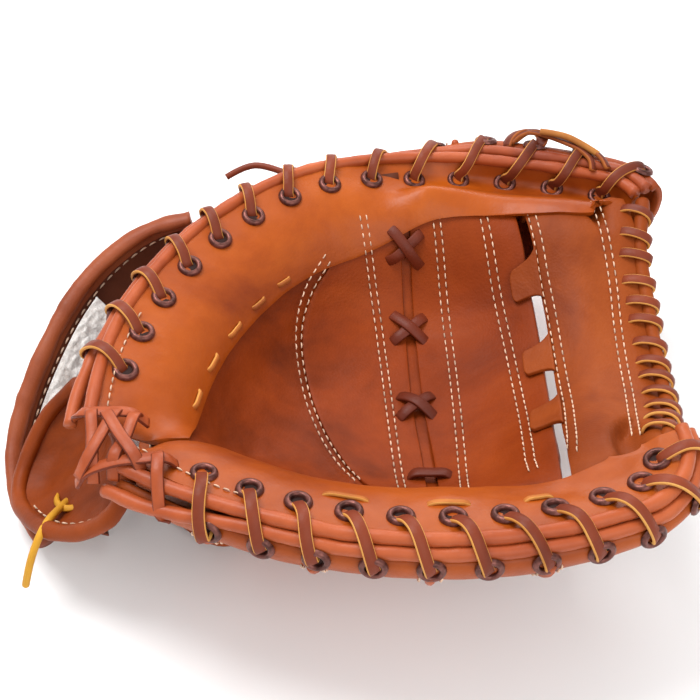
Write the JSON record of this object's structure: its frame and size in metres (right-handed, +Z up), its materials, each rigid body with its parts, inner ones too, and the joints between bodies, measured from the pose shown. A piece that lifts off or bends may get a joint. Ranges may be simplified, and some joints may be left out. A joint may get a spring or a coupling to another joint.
{
  "type": "baseball catchers mitt",
  "caption": "Padded leather baseball mitt with a round laced rim, a deep pocket, a laced two-panel web and a fleece-lined wrist strap.",
  "frame": {"origin": "on the flat patch under the back of the hand that the mitt rests on, below the pocket's middle", "axes": "+X from the wrist to the tip of the web, +Y from the finger side to the thumb side, +Z up out of the pocket"},
  "size_m": [0.3086, 0.256, 0.1054],
  "materials": {
    "shell_leather": "oiled, lightly grained",
    "pocket_leather": "darkened and burnished by use",
    "welt_leather": "rolled and stitched",
    "lace": "rawhide, tan cut edges",
    "eyelet_metal": "dulled brass",
    "felt": "pressed wool felt",
    "fleece": "matted shearling",
    "lining": "soft glove lining"
  },
  "bodies": {
    "thumb_side": {"back_eyelets_thumb": "eyelet_metal", "back_leather_thumb": "shell_leather", "back_welt_thumb": "welt_leather", "bowl_tail_thumb": "lace", "felt_padding_thumb": "felt", "flap_tail": "lace", "floor_felt": "felt", "glove_lining_thumb": "lining", "hand_back_plate": "shell_leather", "heel_lace_thumb": "lace", "palm_eyelets_thumb": "eyelet_metal", "palm_floor": "pocket_leather", "palm_leather_thumb": "shell_leather", "palm_welt_thumb": "welt_leather", "rim_lace_thumb": "lace", "rim_tail_thumb": "lace", "stall_leather_thumb": "shell_leather", "strap_fleece": "fleece", "strap_roll": "welt_leather", "web_cross_lace_thumb": "lace", "web_edge_binding_thumb": "welt_leather", "web_edge_lace_thumb": "lace", "web_inner_panel_thumb": "pocket_leather", "web_outer_panel_thumb": "pocket_leather", "web_tabs_thumb": "pocket_leather", "wrist_flap": "shell_leather", "wrist_strap": "shell_leather"},
    "finger_side": {"back_eyelets_finger": "eyelet_metal", "back_leather_finger": "shell_leather", "back_welt_finger": "welt_leather", "felt_padding_finger": "felt", "glove_lining_finger": "lining", "heel_lace_finger": "lace", "palm_eyelets_finger": "eyelet_metal", "palm_leather_finger": "shell_leather", "palm_welt_finger": "welt_leather", "rim_lace_finger": "lace", "stall_leather_finger": "shell_leather", "web_cross_lace_finger": "lace", "web_edge_binding_finger": "welt_leather", "web_edge_lace_finger": "lace", "web_inner_panel_finger": "pocket_leather", "web_outer_panel_finger": "pocket_leather", "web_tabs_finger": "pocket_leather"}
  },
  "joints": [
    {"name": "mitt_close", "type": "hinge", "parent": "thumb_side", "child": "finger_side", "pos_m": [-0.098, -0.064, 0.042], "axis": [-0.9703, -0.2419, 0], "range_deg": [0, 28]}
  ]
}
